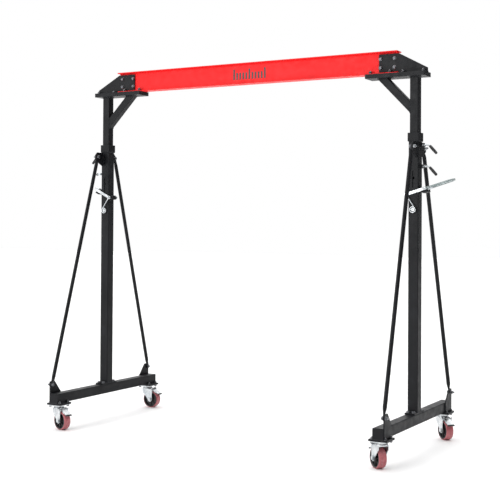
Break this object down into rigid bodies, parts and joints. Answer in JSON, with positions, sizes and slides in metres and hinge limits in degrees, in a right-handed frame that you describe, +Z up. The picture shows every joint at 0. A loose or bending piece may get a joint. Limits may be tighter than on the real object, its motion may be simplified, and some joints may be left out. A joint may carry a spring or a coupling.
{
  "type": "gantry crane",
  "caption": "Adjustable workshop gantry crane: red I-beam on telescoping square posts, A-shaped braced end frames and braked swivel casters.",
  "frame": {"origin": "on the floor, midway between the two posts", "axes": "+X along the beam, towards the frame with the lever handle; +Y along the base tubes; +Z up"},
  "size_m": [2.7344, 1.16, 2.467],
  "materials": {
    "beam_paint": "gloss red powder coat",
    "frame_paint": "fine-textured charcoal powder coat",
    "zinc": "bright zinc plate",
    "grip_plastic": "black moulded grip",
    "wheel_tyre": "red polyurethane tread on a dark core"
  },
  "bodies": {
    "left_frame": {"left_outer_post": "frame_paint", "left_post_collar": "frame_paint", "left_base_tube": "frame_paint", "left_brace_plates": "frame_paint", "left_front_brace": "frame_paint", "left_rear_brace": "frame_paint", "left_caster_pads": "frame_paint", "left_caster_plates": "zinc", "left_lock_pin": "zinc"},
    "right_frame": {"right_outer_post": "frame_paint", "right_post_collar": "frame_paint", "right_base_tube": "frame_paint", "right_brace_plates": "frame_paint", "right_front_brace": "frame_paint", "right_rear_brace": "frame_paint", "right_caster_pads": "frame_paint", "right_caster_plates": "zinc", "right_lock_pin": "zinc"},
    "portal": {"i_beam": "beam_paint", "left_beam_bracket": "frame_paint", "left_top_plate": "frame_paint", "left_inner_post": "frame_paint", "left_knee_brace": "frame_paint", "right_beam_bracket": "frame_paint", "right_top_plate": "frame_paint", "right_inner_post": "frame_paint", "right_knee_brace": "frame_paint"},
    "left_upper_clamp_screw": {"left_upper_clamp_screw": "grip_plastic"},
    "left_lower_clamp_screw": {"left_lower_clamp_screw": "grip_plastic"},
    "left_lift_lever": {"left_lift_lever": "zinc"},
    "left_front_fork": {"left_front_fork": "zinc"},
    "left_front_wheel": {"left_front_wheel": "wheel_tyre"},
    "left_front_brake_pedal": {"left_front_brake_pedal": "zinc"},
    "left_rear_fork": {"left_rear_fork": "zinc"},
    "left_rear_wheel": {"left_rear_wheel": "wheel_tyre"},
    "left_rear_brake_pedal": {"left_rear_brake_pedal": "zinc"},
    "right_upper_clamp_screw": {"right_upper_clamp_screw": "grip_plastic"},
    "right_lower_clamp_screw": {"right_lower_clamp_screw": "grip_plastic"},
    "right_lift_lever": {"right_lift_lever": "zinc", "right_lever_handle": "zinc"},
    "right_front_fork": {"right_front_fork": "zinc"},
    "right_front_wheel": {"right_front_wheel": "wheel_tyre"},
    "right_front_brake_pedal": {"right_front_brake_pedal": "zinc"},
    "right_rear_fork": {"right_rear_fork": "zinc"},
    "right_rear_wheel": {"right_rear_wheel": "wheel_tyre"},
    "right_rear_brake_pedal": {"right_rear_brake_pedal": "zinc"}
  },
  "joints": [
    {"name": "left_post_slide", "type": "slide", "parent": "left_frame", "child": "portal", "axis": [0, 0, 1], "range_m": [-0.115, 0.9]},
    {"name": "right_post_slide", "type": "slide", "parent": "portal", "child": "right_frame", "axis": [0, 0, -1], "range_m": [-0.115, 0.9]},
    {"name": "left_upper_clamp_turn", "type": "hinge", "parent": "left_frame", "child": "left_upper_clamp_screw", "pos_m": [-1.25853, 0, 1.88], "axis": [-1, 0, 0], "continuous": true},
    {"name": "left_lower_clamp_turn", "type": "hinge", "parent": "left_frame", "child": "left_lower_clamp_screw", "pos_m": [-1.25853, 0, 1.749], "axis": [-1, 0, 0], "continuous": true},
    {"name": "left_lever_lift", "type": "hinge", "parent": "left_frame", "child": "left_lift_lever", "pos_m": [-1.18253, 0, 1.578], "axis": [0, 1, 0], "range_deg": [-50, 4]},
    {"name": "left_front_swivel", "type": "hinge", "parent": "left_frame", "child": "left_front_fork", "pos_m": [-1.22603, -0.5225, 0.14], "axis": [0, 0, 1], "continuous": true},
    {"name": "left_front_roll", "type": "hinge", "parent": "left_front_fork", "child": "left_front_wheel", "pos_m": [-1.18932, -0.53234, 0.0625], "axis": [0.2588, 0.9659, 0], "continuous": true},
    {"name": "left_front_brake", "type": "hinge", "parent": "left_front_fork", "child": "left_front_brake_pedal", "pos_m": [-1.17773, -0.53544, 0.139], "axis": [-0.2588, -0.9659, 0], "range_deg": [0, 18]},
    {"name": "left_rear_swivel", "type": "hinge", "parent": "left_frame", "child": "left_rear_fork", "pos_m": [-1.22603, 0.5225, 0.14], "axis": [0, 0, 1], "continuous": true},
    {"name": "left_rear_roll", "type": "hinge", "parent": "left_rear_fork", "child": "left_rear_wheel", "pos_m": [-1.18808, 0.52449, 0.0625], "axis": [-0.0523, 0.9986, 0], "continuous": true},
    {"name": "left_rear_brake", "type": "hinge", "parent": "left_rear_fork", "child": "left_rear_brake_pedal", "pos_m": [-1.1761, 0.52512, 0.139], "axis": [0.0523, -0.9986, 0], "range_deg": [0, 18]},
    {"name": "right_upper_clamp_turn", "type": "hinge", "parent": "right_frame", "child": "right_upper_clamp_screw", "pos_m": [1.14647, 0, 1.88], "axis": [1, 0, 0], "continuous": true},
    {"name": "right_lower_clamp_turn", "type": "hinge", "parent": "right_frame", "child": "right_lower_clamp_screw", "pos_m": [1.14647, 0, 1.749], "axis": [1, 0, 0], "continuous": true},
    {"name": "right_lever_lift", "type": "hinge", "parent": "right_frame", "child": "right_lift_lever", "pos_m": [1.07047, 0, 1.578], "axis": [0, -1, 0], "range_deg": [-41, 13]},
    {"name": "right_front_swivel", "type": "hinge", "parent": "right_frame", "child": "right_front_fork", "pos_m": [1.11397, -0.5225, 0.14], "axis": [0, 0, 1], "continuous": true},
    {"name": "right_front_roll", "type": "hinge", "parent": "right_front_fork", "child": "right_front_wheel", "pos_m": [1.08486, -0.49807, 0.0625], "axis": [-0.6428, -0.766, 0], "continuous": true},
    {"name": "right_front_brake", "type": "hinge", "parent": "right_front_fork", "child": "right_front_brake_pedal", "pos_m": [1.07567, -0.49036, 0.139], "axis": [0.6428, 0.766, 0], "range_deg": [0, 18]},
    {"name": "right_rear_swivel", "type": "hinge", "parent": "right_frame", "child": "right_rear_fork", "pos_m": [1.11397, 0.5225, 0.14], "axis": [0, 0, 1], "continuous": true},
    {"name": "right_rear_roll", "type": "hinge", "parent": "right_rear_fork", "child": "right_rear_wheel", "pos_m": [1.14221, 0.49707, 0.0625], "axis": [0.6691, 0.7431, 0], "continuous": true},
    {"name": "right_rear_brake", "type": "hinge", "parent": "right_rear_fork", "child": "right_rear_brake_pedal", "pos_m": [1.15113, 0.48904, 0.139], "axis": [-0.6691, -0.7431, 0], "range_deg": [0, 18]}
  ],
  "couplings": [
    {"joint": "right_post_slide", "follows": "left_post_slide", "ratio": 1}
  ]
}
